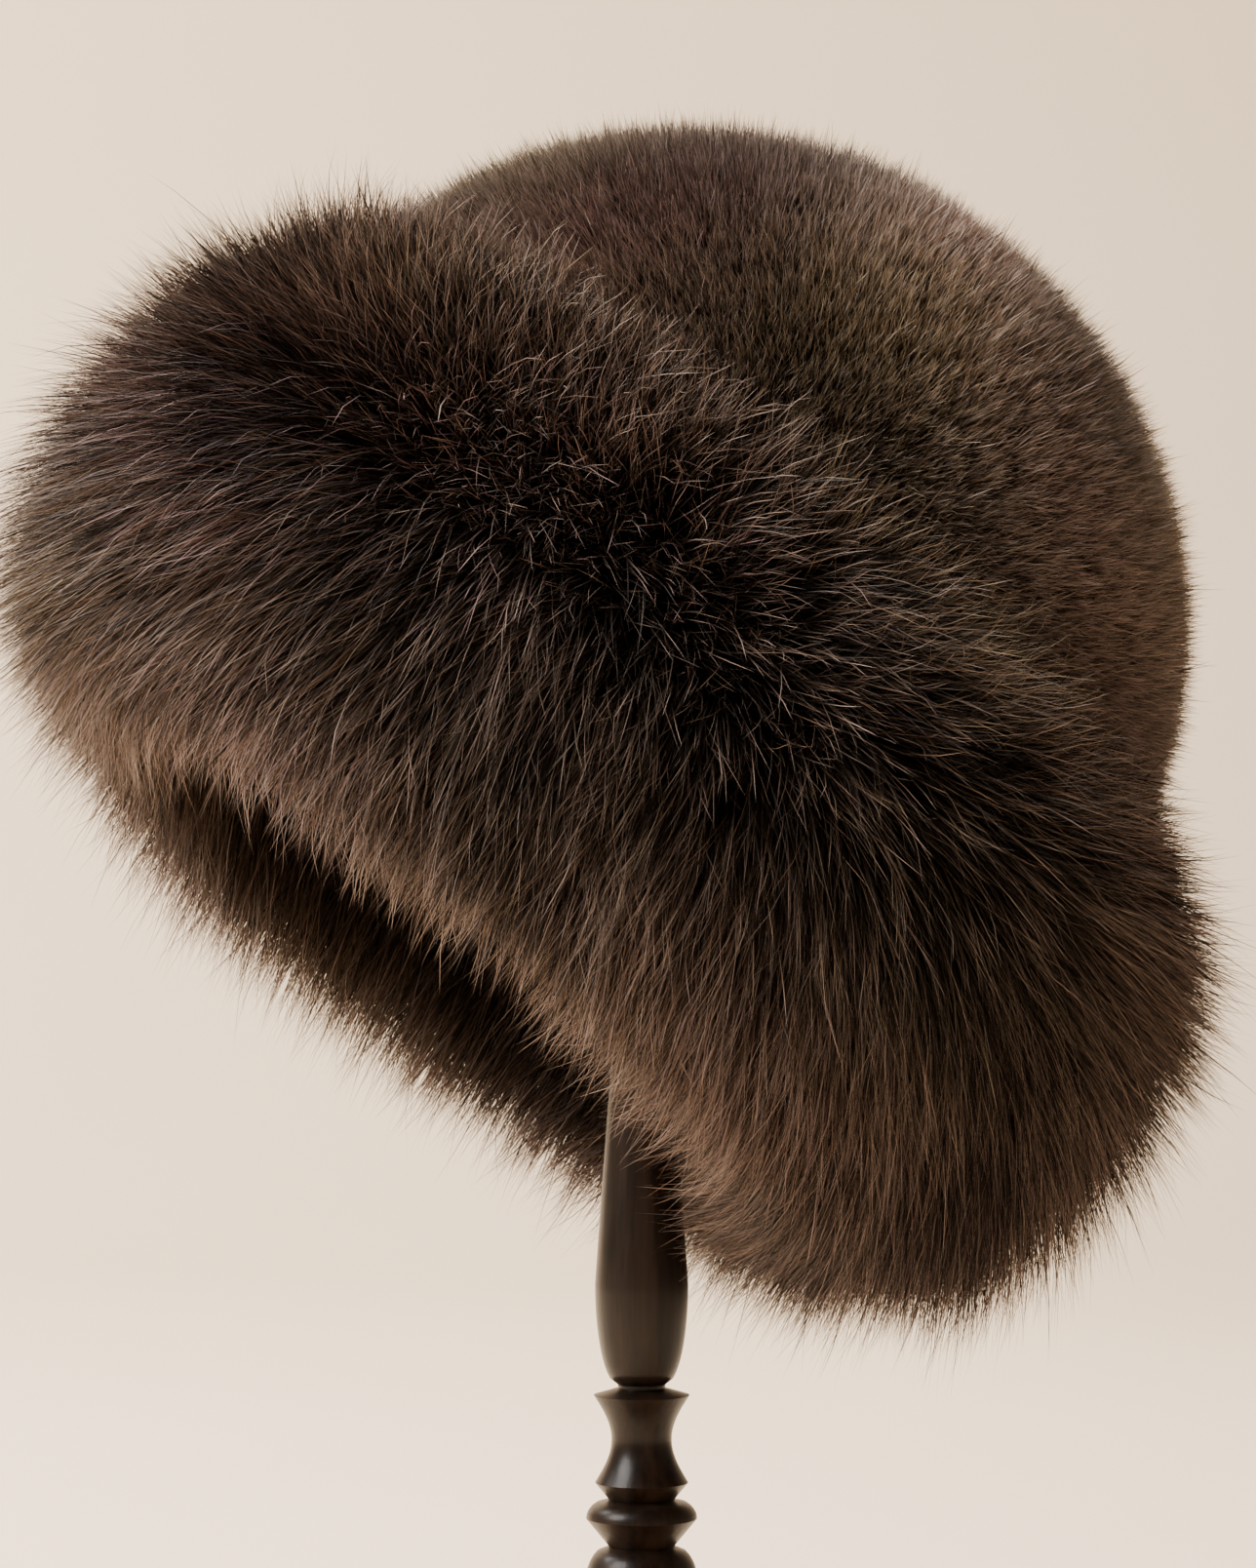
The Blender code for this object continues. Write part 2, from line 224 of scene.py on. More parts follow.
def turned_piece(name, outline, sides, material, closed=False):
    """Spins an outline of (radius, height) points about the upright axis into a smooth piece."""
    mesh = bpy.data.meshes.new(name)
    edges = [(i, i + 1) for i in range(len(outline) - 1)]
    if closed:
        edges.append((len(outline) - 1, 0))
    mesh.from_pydata([(radius, 0, height) for radius, height in outline], edges, [])
    piece = bpy.data.objects.new(name, mesh)
    bpy.context.scene.collection.objects.link(piece)
    bpy.ops.object.select_all(action="DESELECT")
    bpy.context.view_layer.objects.active = piece
    piece.select_set(True)
    lathe = piece.modifiers.new("lathe", "SCREW")
    lathe.steps = lathe.render_steps = sides
    lathe.use_merge_vertices = True
    lathe.merge_threshold = WELD
    bpy.ops.object.modifier_apply(modifier=lathe.name)
    bpy.ops.object.mode_set(mode="EDIT")
    bpy.ops.mesh.select_all(action="SELECT")
    bpy.ops.mesh.remove_doubles(threshold=WELD)
    bpy.ops.mesh.normals_make_consistent(inside=False)
    bpy.ops.object.mode_set(mode="OBJECT")
    bpy.ops.object.shade_smooth_by_angle(angle=CREASE)
    piece.select_set(False)
    mesh.materials.append(material)
    return piece


def member_radius(form, top, foot, dip, share):
    """The radius of one turned member at a share of its length from the top."""
    if form == "swell_in":
        return foot + (top - foot) * math.sqrt(max(0.0, 1 - share * share))
    if form == "swell_out":
        return top + (foot - top) * math.sqrt(max(0.0, 1 - (1 - share) ** 2))
    return top + (foot - top) * share - dip * math.sin(math.pi * share) * (form == "hollow")


base_top = BASE_EDGE + BASE_RISE
edge_round = 0.35 * BASE_EDGE
base_outline = [(0, 0), (BASE_RADIUS - edge_round, 0)]
for step in range(CORNER_STEPS + 1):
    turn = math.pi / 2 * step / CORNER_STEPS
    reach = BASE_RADIUS - edge_round + edge_round * math.sin(turn)
    base_outline.append((reach, edge_round - edge_round * math.cos(turn)))
for step in range(CORNER_STEPS + 1):
    turn = math.pi / 2 * step / CORNER_STEPS
    reach = BASE_RADIUS - edge_round + edge_round * math.cos(turn)
    base_outline.append((reach, BASE_EDGE - edge_round + edge_round * math.sin(turn)))
reach = BASE_RADIUS - 0.7 * BASE_EDGE
for step in range(CURVE_STEPS + 1):
    share = step / CURVE_STEPS
    rise = BASE_RISE * share * share * (3 - 2 * share)
    base_outline.append((reach + (COLLAR_RADIUS - reach) * share, BASE_EDGE + rise))
base_outline.append((0, base_top))

cap_drop = CAP_CURVE - math.sqrt(CAP_CURVE**2 - CAP_RADIUS**2)
cap_neck = STAND_HEIGHT - cap_drop - CAP_UNDERCUT
cap_outline = []
for step in range(CURVE_STEPS + 1):
    turn = math.asin(CAP_RADIUS / CAP_CURVE) * step / CURVE_STEPS
    rise = STAND_HEIGHT - CAP_CURVE + CAP_CURVE * math.cos(turn)
    cap_outline.append((CAP_CURVE * math.sin(turn), rise))
cap_outline += [
    (CAP_RADIUS - 0.25 * CAP_UNDERCUT, STAND_HEIGHT - cap_drop - 0.35 * CAP_UNDERCUT),
    (CAP_NECK_RADIUS, cap_neck),
    (0, cap_neck),
]

post_outline = [(0, cap_neck - JOINT_GAP), (SHAFT_TOP_RADIUS, cap_neck - JOINT_GAP)]
height = base_top + JOINT_GAP + TURNED_LENGTH
for form, length, top, foot, dip, steps in TURNING:
    for step in range(steps + 1):
        share = step / steps
        reach = POST_RADIUS * member_radius(form, top, foot, dip, share)
        point = (reach, height - share * length * TURNED_LENGTH)
        if math.dist(point, post_outline[-1]) > WELD:
            post_outline.append(point)
    height -= length * TURNED_LENGTH
post_outline.append((0, height))

for node, outline, sides, wood in (
    ("stand_base", base_outline, BASE_SIDES, flat_wood),
    ("stand_post", post_outline, POST_SIDES, upright_wood),
    ("stand_cap", cap_outline, CAP_SIDES, flat_wood),
):
    piece = turned_piece(node + "_turned", outline, sides, wood)
    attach(piece, "root")
    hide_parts(node)

# The crown: a dome of plush cloth. Its shell is the cloth and the dense foot of the pile, smooth and
# dark inside, spun as an outer and an inner dome that are bridged at the seam. The hat sits aslant, so
# every piece of it is made upright about the hat's own axis and then turned into place.
HEAD_RADIUS = 0.092
CROWN_HEIGHT = 0.0765
CROWN_TOP = 0.0885
CROWN_SEAM_RADIUS = 0.1092
PILE_DEPTH = 0.0068
SEAM_GAP = 0.0004
DOME_STEPS = 22
LINING_STEPS = 14
CROWN_SIDES = 96
HAT_SEAT = Matrix.Translation((0.0239, 0.0039, 0.3217))
HAT_TIP = Matrix.Rotation(math.radians(37.3), 4, "Y")
HAT_LEAN = Matrix.Rotation(math.radians(-8.5), 4, "X")
HAT_PLACE = HAT_SEAT @ HAT_TIP @ HAT_LEAN
CROWN_CURVE = (CROWN_SEAM_RADIUS**2 + CROWN_TOP**2) / (2 * CROWN_TOP)
CROWN_CENTRE = CROWN_TOP - CROWN_CURVE

nap_tree, nap_in, nap_out = shader_group(
    "nap_patches",
    [("Vector", "NodeSocketVector", None), ("Patch Scale", "NodeSocketFloat", 16.0)],
    [("Shade", "NodeSocketFloat"), ("Tint", "NodeSocketFloat"), ("Streaks", "NodeSocketFloat")],
)
patches = nap_tree.nodes.new("ShaderNodeTexNoise")
patches.inputs["Detail"].default_value = 3.0
link(nap_tree, nap_in.outputs["Vector"], patches.inputs["Vector"])
link(nap_tree, nap_in.outputs["Patch Scale"], patches.inputs["Scale"])
link(nap_tree, patches.outputs["Fac"], nap_out.inputs["Shade"])
shifted = nap_tree.nodes.new("ShaderNodeMapping")
shifted.inputs["Location"].default_value = (3.1, 5.7, 1.9)
link(nap_tree, nap_in.outputs["Vector"], shifted.inputs["Vector"])
link(nap_tree, noise(nap_tree, shifted.outputs["Vector"], 22.0, 2.0), nap_out.inputs["Tint"])
link(nap_tree, noise(nap_tree, nap_in.outputs["Vector"], 700.0, 4.0, 0.7), nap_out.inputs["Streaks"])


def pile_foot_material(name, dark, light, mauve, bump_depth):
    """The dense foot of a pile: soft patches of shade and tint, broken by fine fibres."""
    made, tree, shader = fresh_material(name, 0.9, 0.1)
    place = tree.nodes.new("ShaderNodeTexCoord").outputs["Object"]
    nap = tree.nodes.new("ShaderNodeGroup")
    nap.node_tree = nap_tree
    link(tree, place, nap.inputs["Vector"])
    patched = math_node(tree, "MULTIPLY", nap.outputs["Shade"], 0.5)
    shade = math_node(tree, "MULTIPLY_ADD", nap.outputs["Streaks"], 0.6, patched)
    base = ramp(tree, [(0.35, dark), (0.75, light)], shade)
    tint = math_node(tree, "MULTIPLY", math_node(tree, "SUBTRACT", nap.outputs["Tint"], 0.5), 1.5)
    tint = math_node(tree, "MINIMUM", math_node(tree, "MAXIMUM", tint, 0.0), 0.6)
    link(tree, mixed(tree, "MIX", tint, base, mauve), shader.inputs["Base Color"])
    bump = tree.nodes.new("ShaderNodeBump")
    bump.inputs["Strength"].default_value = 0.9
    bump.inputs["Distance"].default_value = bump_depth
    link(tree, nap.outputs["Streaks"], bump.inputs["Height"])
    link(tree, bump.outputs["Normal"], shader.inputs["Normal"])
    return made


# The pile's foot is dark: partly the pile's own colour and partly painted shade under the pile.
crown_foot = pile_foot_material(
    "crown_pile_foot", (0.012, 0.0075, 0.005), (0.060, 0.040, 0.029), (0.050, 0.031, 0.030), 0.0006
)
low_turn = math.asin(-CROWN_CENTRE / CROWN_CURVE)
reach = CROWN_CURVE - PILE_DEPTH
shell_outline = []
for step in range(DOME_STEPS):
    turn = low_turn + (math.pi / 2 - low_turn) * step / DOME_STEPS
    rise = CROWN_CENTRE + reach * math.sin(turn)
    shell_outline.append((reach * math.cos(turn), max(SEAM_GAP, rise)))
shell_outline.append((0, CROWN_CENTRE + reach))
lining_outline = [(0, CROWN_HEIGHT)]
for step in range(LINING_STEPS - 1, -1, -1):
    turn = math.pi / 2 * step / LINING_STEPS
    rise = CROWN_HEIGHT * math.sin(turn)
    lining_outline.append((HEAD_RADIUS * math.cos(turn), max(SEAM_GAP, rise)))
crown_shell = turned_piece("crown_shell", shell_outline, CROWN_SIDES, crown_foot)
lining = turned_piece("crown_inner", lining_outline, CROWN_SIDES, crown_foot)
bpy.ops.object.select_all(action="DESELECT")
lining.select_set(True)
crown_shell.select_set(True)
bpy.context.view_layer.objects.active = crown_shell
bpy.ops.object.join()
bpy.ops.object.mode_set(mode="EDIT")
bpy.ops.mesh.select_all(action="DESELECT")
bpy.ops.mesh.select_mode(type="EDGE")
bpy.ops.mesh.select_non_manifold()
bpy.ops.mesh.bridge_edge_loops()
bpy.ops.mesh.select_all(action="SELECT")
bpy.ops.mesh.normals_make_consistent(inside=False)
bpy.ops.object.mode_set(mode="OBJECT")
crown_shell.select_set(False)
crown_shell.data.transform(HAT_PLACE)
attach(crown_shell, "root")
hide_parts("crown_top", "crown_side")

# The crown's pile: short, soft hairs set close together all over the dome, standing almost upright and
# swept a little this way and that, so that the plush shows soft patches. Each hair is a tapered blade.
# Its map runs from the root up to the tip, and across it lie columns, one for each blend of shade and
# tint, so that hairs can share one finish.
SHADES = 4
TINTS = 4
PALE = 3
MIDDLE_SHADE = 1.45
HAIR_SHADE = 0.85
HAIR_TINT = 0.55
TINT_EDGE = 0.95
COLUMN_INSET = 0.12
TIP_PLACE = 0.995
PILE_HAIRS = 120000
PILE_PIECES = 2
PILE_TUFT = 5
PILE_EDGE = 0.004
PILE_SHADE = 0.8
PILE_PALE = 0.14
PILE_LEAN = 0.0030
PILE_COMB = 0.30
PILE_SWAY = 0.50
PILE_CROSS = 0.6
PILE_TOUSLE = 0.60
PILE_SINK = 0.0012
PILE_SPREAD = 0.00105
PILE_GATHER = 0.35
PILE_SCATTER = 0.0011
PILE_WIDTH = 0.00038
PILE_HALO = 0.07
PILE_TRIM = 0.25


def soft_waves(chance, turn, rise, waves, coarse):
    """A smooth wandering value from about -1 to 1 that closes on itself round the hat."""
    total = np.zeros_like(turn)
    for _ in range(waves):
        round_count = chance.integers(1, coarse + 1)
        climb = chance.normal(0, coarse * 0.35)
        total += np.sin(round_count * turn + climb * rise + chance.uniform(0, 2 * math.pi))
    return total / math.sqrt(waves)


def unit(vectors):
    """The same directions, one long."""
    return vectors / np.maximum(np.linalg.norm(vectors, axis=-1, keepdims=True), 1e-9)


def blades(chance, root, bend, tip, width, column, stations):
    """Tapered blades from root to tip. Returns their corners, map places and triangles."""
    count, rings = len(root), len(stations)
    corners = np.empty((count, 2 * rings + 1, 3))
    places = np.empty((count, 2 * rings + 1, 2))
    side = unit(np.cross(unit(tip - root), chance.normal(size=(count, 3))))
    for ring, share in enumerate(stations):
        middle = (1 - share) ** 2 * root + 2 * share * (1 - share) * bend + share**2 * tip
        half = side * (0.5 * width * (1 - share**2.5))[:, None]
        corners[:, 2 * ring], corners[:, 2 * ring + 1] = middle - half, middle + half
        places[:, 2 * ring : 2 * ring + 2, 1] = share
        places[:, 2 * ring, 0] = (column + COLUMN_INSET) / (SHADES * TINTS)
        places[:, 2 * ring + 1, 0] = (column + 1 - COLUMN_INSET) / (SHADES * TINTS)
    corners[:, -1] = tip
    places[:, -1, 0] = (column + 0.5) / (SHADES * TINTS)
    places[:, -1, 1] = TIP_PLACE
    faces = []
    for ring in range(rings - 1):
        low, high = 2 * ring, 2 * ring + 2
        faces += [(low, low + 1, high + 1), (low, high + 1, high)]
    faces.append((2 * rings - 2, 2 * rings - 1, 2 * rings))
    first = np.arange(count) * (2 * rings + 1)
    triangles = first[:, None, None] + np.array(faces)[None]
    return corners.reshape(-1, 3), places.reshape(-1, 2), triangles.reshape(-1, 3)


def hair_piece(name, corners, places, triangles, material):
    """A mesh object made of blades, in the hat's place on the stand."""
    mesh = bpy.data.meshes.new(name)
    mesh.vertices.add(len(corners))
    mesh.vertices.foreach_set("co", corners.ravel())
    mesh.loops.add(triangles.size)
    mesh.loops.foreach_set("vertex_index", triangles.ravel())
    mesh.polygons.add(len(triangles))
    mesh.polygons.foreach_set("loop_start", np.arange(0, triangles.size, 3))
    mesh.polygons.foreach_set("use_smooth", np.ones(len(triangles), dtype=bool))
    mesh.uv_layers.new(name="OFBake").data.foreach_set("uv", places[triangles.ravel()].ravel())
    mesh.update(calc_edges=True)
    mesh.transform(HAT_PLACE)
    mesh.materials.append(material)
    piece = bpy.data.objects.new(name, mesh)
    bpy.context.scene.collection.objects.link(piece)
    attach(piece, "root")
    return piece


def around(turn, reach, height):
    """Points at a turn about the hat's axis, a reach from it and a height above the seam."""
    return np.stack([reach * np.cos(turn), reach * np.sin(turn), height], axis=-1)


tone_tree, tone_in, tone_out = shader_group(
    "hair_tone",
    [
        ("Column", "NodeSocketFloat", 0.0),
        ("Along Soft Hair", "NodeSocketColor", (0.1, 0.1, 0.1, 1.0)),
        ("Along Pale Hair", "NodeSocketColor", (0.1, 0.1, 0.1, 1.0)),
        ("Spread", "NodeSocketFloat", 0.6),
    ],
    [("Color", "NodeSocketColor")],
)
hair_tint = ramp(
    tone_tree,
    [
        (0.0, (1.0, 0.99, 0.98)),
        (0.25, (1.04, 0.91, 1.02)),
        (0.50, (0.97, 1.01, 0.84)),
        (0.75, (1.0, 1.0, 1.0)),
    ],
    tone_in.outputs["Column"],
    "CONSTANT",
)
is_pale = math_node(tone_tree, "GREATER_THAN", tone_in.outputs["Column"], PALE / TINTS)
along = mixed(
    tone_tree, "MIX", is_pale, tone_in.outputs["Along Soft Hair"], tone_in.outputs["Along Pale Hair"]
)
tints_across = math_node(tone_tree, "MULTIPLY", tone_in.outputs["Column"], TINTS)
in_tint = math_node(tone_tree, "FRACT", tints_across)
level = math_node(tone_tree, "FLOOR", math_node(tone_tree, "MULTIPLY", in_tint, SHADES))
level = math_node(tone_tree, "SUBTRACT", math_node(tone_tree, "DIVIDE", level, SHADES - 1), 0.5)
gain = math_node(tone_tree, "MULTIPLY_ADD", level, tone_in.outputs["Spread"], 1.0)
scaled = tone_tree.nodes.new("ShaderNodeVectorMath")
scaled.operation = "SCALE"
link(tone_tree, mixed(tone_tree, "MULTIPLY", 1.0, along, hair_tint), scaled.inputs[0])
link(tone_tree, gain, scaled.inputs["Scale"])
link(tone_tree, scaled.outputs["Vector"], tone_out.inputs["Color"])


def hair_material(name, soft_stops, pale_stops, spread, roughness, specular):
    """Hair whose colour runs from root to tip, its shade and tint read from its column of the map."""
    made, tree, shader = fresh_material(name, roughness, specular)
    place = tree.nodes.new("ShaderNodeUVMap")
    place.uv_map = "OFBake"
    split = tree.nodes.new("ShaderNodeSeparateXYZ")
    link(tree, place.outputs["UV"], split.inputs["Vector"])
    tone = tree.nodes.new("ShaderNodeGroup")
    tone.node_tree = tone_tree
    tone.inputs["Spread"].default_value = spread
    link(tree, split.outputs["X"], tone.inputs["Column"])
    link(tree, ramp(tree, soft_stops, split.outputs["Y"]), tone.inputs["Along Soft Hair"])
    link(tree, ramp(tree, pale_stops, split.outputs["Y"]), tone.inputs["Along Pale Hair"])
    link(tree, tone.outputs["Color"], shader.inputs["Base Color"])
    return made


def hair_columns(chance, owner, shade_field, tint_field, pale_share):
    """The map column of each hair: shade and tint follow soft fields over the fur, and some are pale."""
    hairs = len(owner)
    shade = MIDDLE_SHADE + shade_field[owner] + chance.normal(0, HAIR_SHADE, hairs)
    shade = np.clip(np.round(shade), 0, SHADES - 1)
    lean = tint_field[owner] + chance.normal(0, HAIR_TINT, hairs)
    pale = chance.random(hairs) < pale_share
    tint = np.select([pale, lean > TINT_EDGE, lean < -TINT_EDGE], [PALE, 1, 2], 0)
    return tint * SHADES + shade


# The pile is dark at the root and light at the tip: partly the pile's own colour and partly painted
# shade of its depth.
pile_finish = hair_material(
    "crown_pile",
    [(0.0, (0.010, 0.0055, 0.0036)), (0.45, (0.046, 0.0290, 0.0205)), (1.0, (0.430, 0.322, 0.258))],
    [(0.0, (0.014, 0.0080, 0.0055)), (0.50, (0.100, 0.070, 0.054)), (1.0, (0.520, 0.410, 0.340))],
    1.00, 0.55, 0.25,
)
for number in range(PILE_PIECES):
    chance = np.random.default_rng(40 + number)
    tufts = PILE_HAIRS // PILE_TUFT
    lift = chance.uniform(PILE_EDGE - CROWN_CENTRE, CROWN_CURVE, tufts) / CROWN_CURVE
    turn = chance.uniform(0, 2 * math.pi, tufts)
    waves = np.random.default_rng(4)
    sway = soft_waves(waves, turn, lift * 3, 5, 4)
    cross = soft_waves(waves, turn, lift * 3, 5, 5)
    shade_field = PILE_SHADE * soft_waves(waves, turn, lift * 4, 6, 5)
    tint_field = soft_waves(waves, turn, lift * 4, 6, 6)
    out = around(turn, np.sqrt(np.maximum(0, 1 - lift**2)), lift)
    up = np.tile([0.0, 0.0, 1.0], (tufts, 1))
    down = unit(np.cross(out, np.cross(out, up)) + 1e-6)
    across = np.cross(out, down)
    lean = down * (PILE_COMB + PILE_SWAY * sway)[:, None] + across * (PILE_CROSS * cross)[:, None]
    lean += chance.normal(0, PILE_TOUSLE, (tufts, 3))
    owner = np.repeat(np.arange(tufts), PILE_TUFT)
    hairs = len(owner)
    middle = np.array([0.0, 0.0, CROWN_CENTRE])
    spread = chance.normal(0, PILE_SPREAD, (hairs, 3))
    foot_reach = CROWN_CURVE - PILE_DEPTH - PILE_SINK
    foot = middle + unit(out[owner] * foot_reach + spread) * foot_reach
    straight = unit(foot - middle)
    grow = chance.uniform(0.78, 1.10, hairs) + 0.10 * chance.random(tufts)[owner]
    grow -= PILE_TRIM * ((1 - lift) * np.maximum(np.cos(turn), 0))[owner]
    grow += np.where(chance.random(hairs) < PILE_HALO, chance.uniform(0.10, 0.30, hairs), 0)
    top = foot + straight * ((PILE_DEPTH + PILE_SINK) * grow)[:, None]
    top += PILE_LEAN * lean[owner] * chance.uniform(0.5, 1.2, hairs)[:, None] - PILE_GATHER * spread
    top += chance.normal(0, PILE_SCATTER, (hairs, 3))
    column = hair_columns(chance, owner, shade_field, tint_field, PILE_PALE)
    width = PILE_WIDTH * chance.uniform(0.7, 1.25, hairs)
    pile = hair_piece(
        "crown_pile_%d" % (number + 1),
        *blades(chance, foot, (foot + top) / 2, top, width, column, (0.15,)),
        pile_finish,
    )
    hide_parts("crown_top", "crown_side")

# The brim's wall: a band of doubled dark cloth sewn on below the crown's seam. The long fur stands on
# its outside, and its plain inner side shows in the hat's mouth. It is a spun outline with a rolled hem.
BRIM_DROP = 0.085
BRIM_WALL = 0.003
HEM_STEPS = 6
WALL_SIDES = 120
CLOTH_DEEP = (0.0088, 0.005775, 0.0044)
CLOTH_WORN = (0.024, 0.01575, 0.012)

cloth, cloth_tree, cloth_shader = fresh_material("brim_backing", 0.92, 0.12)
cloth_place = cloth_tree.nodes.new("ShaderNodeTexCoord").outputs["Object"]
threads = noise(cloth_tree, stretched(cloth_tree, cloth_place, (1500, 1500, 1500)), 1.0, 2.0)
worn_cloth = noise(cloth_tree, cloth_place, 30.0, 3.0)
worn_half = math_node(cloth_tree, "MULTIPLY", worn_cloth, 0.5)
cloth_shade = math_node(cloth_tree, "MULTIPLY_ADD", threads, 0.5, worn_half)
cloth_colour = ramp(cloth_tree, [(0.3, CLOTH_DEEP), (0.7, CLOTH_WORN)], cloth_shade)
link(cloth_tree, cloth_colour, cloth_shader.inputs["Base Color"])
cloth_bump = cloth_tree.nodes.new("ShaderNodeBump")
cloth_bump.inputs["Strength"].default_value = 0.6
cloth_bump.inputs["Distance"].default_value = 0.0003
link(cloth_tree, threads, cloth_bump.inputs["Height"])
link(cloth_tree, cloth_bump.outputs["Normal"], cloth_shader.inputs["Normal"])
wall_outer = HEAD_RADIUS + BRIM_WALL
hem = 0.5 * BRIM_WALL
wall_outline = [(wall_outer, -JOINT_GAP), (wall_outer, -0.5 * BRIM_DROP)]
for step in range(HEM_STEPS + 1):
    turn = -math.pi * step / HEM_STEPS
    reach = HEAD_RADIUS + hem + hem * math.cos(turn)
    wall_outline.append((reach, -BRIM_DROP + hem + hem * math.sin(turn)))
wall_outline += [(HEAD_RADIUS, -0.5 * BRIM_DROP), (HEAD_RADIUS, -JOINT_GAP)]
brim_cloth = turned_piece("brim_cloth", wall_outline, WALL_SIDES, cloth, closed=True)
brim_cloth.data.transform(HAT_PLACE)
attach(brim_cloth, "root")
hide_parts("brim_wall")

# The brim's underfur: the dense, nearly black wool at the foot of the long hair; its near-black is
# partly the wool's own colour and partly painted shade of the deep fur. Deep in the fur it closes the
# view between the hairs. It is a ring with the fur's own rounded section, sunk below its outer form and
# pushed in and out into soft lumps, with a flat inner side on the brim's wall.
FUR_REACH = 0.0533
FUR_LOW_SIDE_REACH = 0.0035
FUR_CREST = 0.013
FUR_BACK_CREST = 0.0055
FUR_OVERHANG = 0.0405
FUR_BACK_OVERHANG = 0.0075
FUR_SAG = 0.001
FUR_LOW_SIDE_DIP = 0.007
FUR_FULLNESS = 2.7
UNDERFUR_DEPTH = 0.024
UNDERFUR_LUMPS = 0.0016
UNDERFUR_GAP = 0.0006
RING_TURNS = 128
OUTER_ROWS = 26
INNER_ROWS = 10
RING_ROWS = OUTER_ROWS + INNER_ROWS
OUTER_TOP = 80
OUTER_RUN = 170


def fur_form(turn, slope, sink=0.0):
    """The reach and height of the brim's rounded outer form, fuller below, and sunk by a depth."""
    low_side = np.maximum(np.cos(turn), 0)
    crest = FUR_CREST + FUR_BACK_CREST * np.sin(turn) - FUR_LOW_SIDE_DIP * low_side
    edge = -BRIM_DROP - FUR_OVERHANG - FUR_BACK_OVERHANG * np.sin(turn) - FUR_SAG * np.cos(turn)
    half = (crest - edge) / 2
    power = np.where(slope < 0, 2 / FUR_FULLNESS, 1.0)
    outward = np.sign(np.cos(slope)) * np.abs(np.cos(slope)) ** power
    upward = np.sign(slope) * np.abs(np.sin(slope)) ** power
    reach = wall_outer + (FUR_REACH + FUR_LOW_SIDE_REACH * np.cos(turn) - sink) * outward
    return reach, crest - half + (half - sink) * upward


# Partly painted shade: the underfur's near-black stands in part for the shade deep in the fur.
underfur = pile_foot_material(
    "underfur", (0.004, 0.0025, 0.0017), (0.016, 0.010, 0.007), (0.012, 0.0075, 0.007), 0.0015
)
ring_faces, ring_corners = [], []
for index in range(RING_TURNS):
    turn = 2 * math.pi * index / RING_TURNS
    for row in range(RING_ROWS):
        if row < OUTER_ROWS:
            slope = math.radians(OUTER_TOP - OUTER_RUN * row / (OUTER_ROWS - 1))
            reach, height = fur_form(turn, slope, UNDERFUR_DEPTH)
            lump = math.sin(9 * turn + 5 * slope) * math.sin(14 * turn - 7 * slope)
            reach += UNDERFUR_LUMPS * lump * math.cos(slope)
        else:
            share = (row - OUTER_ROWS) / (INNER_ROWS - 1)
            reach = HEAD_RADIUS if row == OUTER_ROWS else wall_outer + UNDERFUR_GAP
            height = -BRIM_DROP - 0.001 + (BRIM_DROP - 0.002) * share
        ring_corners.append((reach * math.cos(turn), reach * math.sin(turn), height))
for index in range(RING_TURNS):
    here, after = index * RING_ROWS, (index + 1) % RING_TURNS * RING_ROWS
    for row in range(RING_ROWS):
        below = (row + 1) % RING_ROWS
        ring_faces.append((here + row, here + below, after + below, after + row))
ring_mesh = bpy.data.meshes.new("brim_underfur")
ring_mesh.from_pydata(ring_corners, [], ring_faces)
ring_mesh.shade_smooth()
ring_mesh.materials.append(underfur)
brim_underfur = bpy.data.objects.new("brim_underfur", ring_mesh)
bpy.context.scene.collection.objects.link(brim_underfur)
bpy.context.view_layer.objects.active = brim_underfur
brim_underfur.select_set(True)
bpy.ops.object.mode_set(mode="EDIT")
bpy.ops.mesh.select_all(action="SELECT")
bpy.ops.mesh.normals_make_consistent(inside=False)
bpy.ops.object.mode_set(mode="OBJECT")
brim_underfur.select_set(False)
ring_mesh.transform(HAT_PLACE)
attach(brim_underfur, "root")
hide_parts("brim_fur")

# The brim's long fur: hairs 50 to 60 mm long that stand out from the wall on every side, combed up over
# the crown at the top and down past the hem at the bottom, with their roots drooping down the hat's
# slope between. They are nearly black at the root and taupe at the tip, the dark toward the root partly
# the fur's own dark base and partly painted shade of the fur's depth. Soft hairs gather in small
# tufts, and pale guard hairs stand up through them.
FUR_LAYERS = (
    # name, tufts, hairs in each, share of the length, width, stations along each hair,
    # share of strays, share of pale hairs, how strongly painted shade darkens the fur's middle
    ("brim_fur_under", 8200, 20, 0.81, 0.00060, (0.52,), 0.0, 0.0, 1.0),
    ("brim_fur_long_1", 4750, 8, 1.015, 0.00046, (0.36, 0.62, 0.84), 0.06, 0.08, 1.2),
    ("brim_fur_long_2", 4750, 8, 1.035, 0.00042, (0.36, 0.62, 0.84), 0.09, 0.14, 1.0),
    ("brim_fur_guard", 6000, 4, 1.01, 0.00036, (0.36, 0.62, 0.84), 0.60, 0.60, 0.7),
)
HIGH_SLOPE = math.radians(84)
LOW_SLOPE = math.radians(-102)
ROOT_SPREAD = ((-95, -3, 80), (1.0, 0.50, 0.04))
ROOT_TOP = 0.004
ROOT_EDGE = 0.002
INNER_ROOT = 0.0010
DROOP = 0.087
# Zones of the fur's section: the slopes, in degrees up or down, where each begins and where it is full
CREST_ZONE = (25, 65)
HEM_ZONE = (15, 50)
FRINGE_ZONE = (40, 85)
INNER_ZONE = (84, 94)
LOWER_LENGTH = 0.05
LOW_SIDE_LENGTH = 0.10
LOW_SIDE_SLOPE = math.radians(32)
HIGH_SIDE_LENGTH = 0.04
FAR_TURN = math.radians(117)
FAR_LENGTH = 0.14
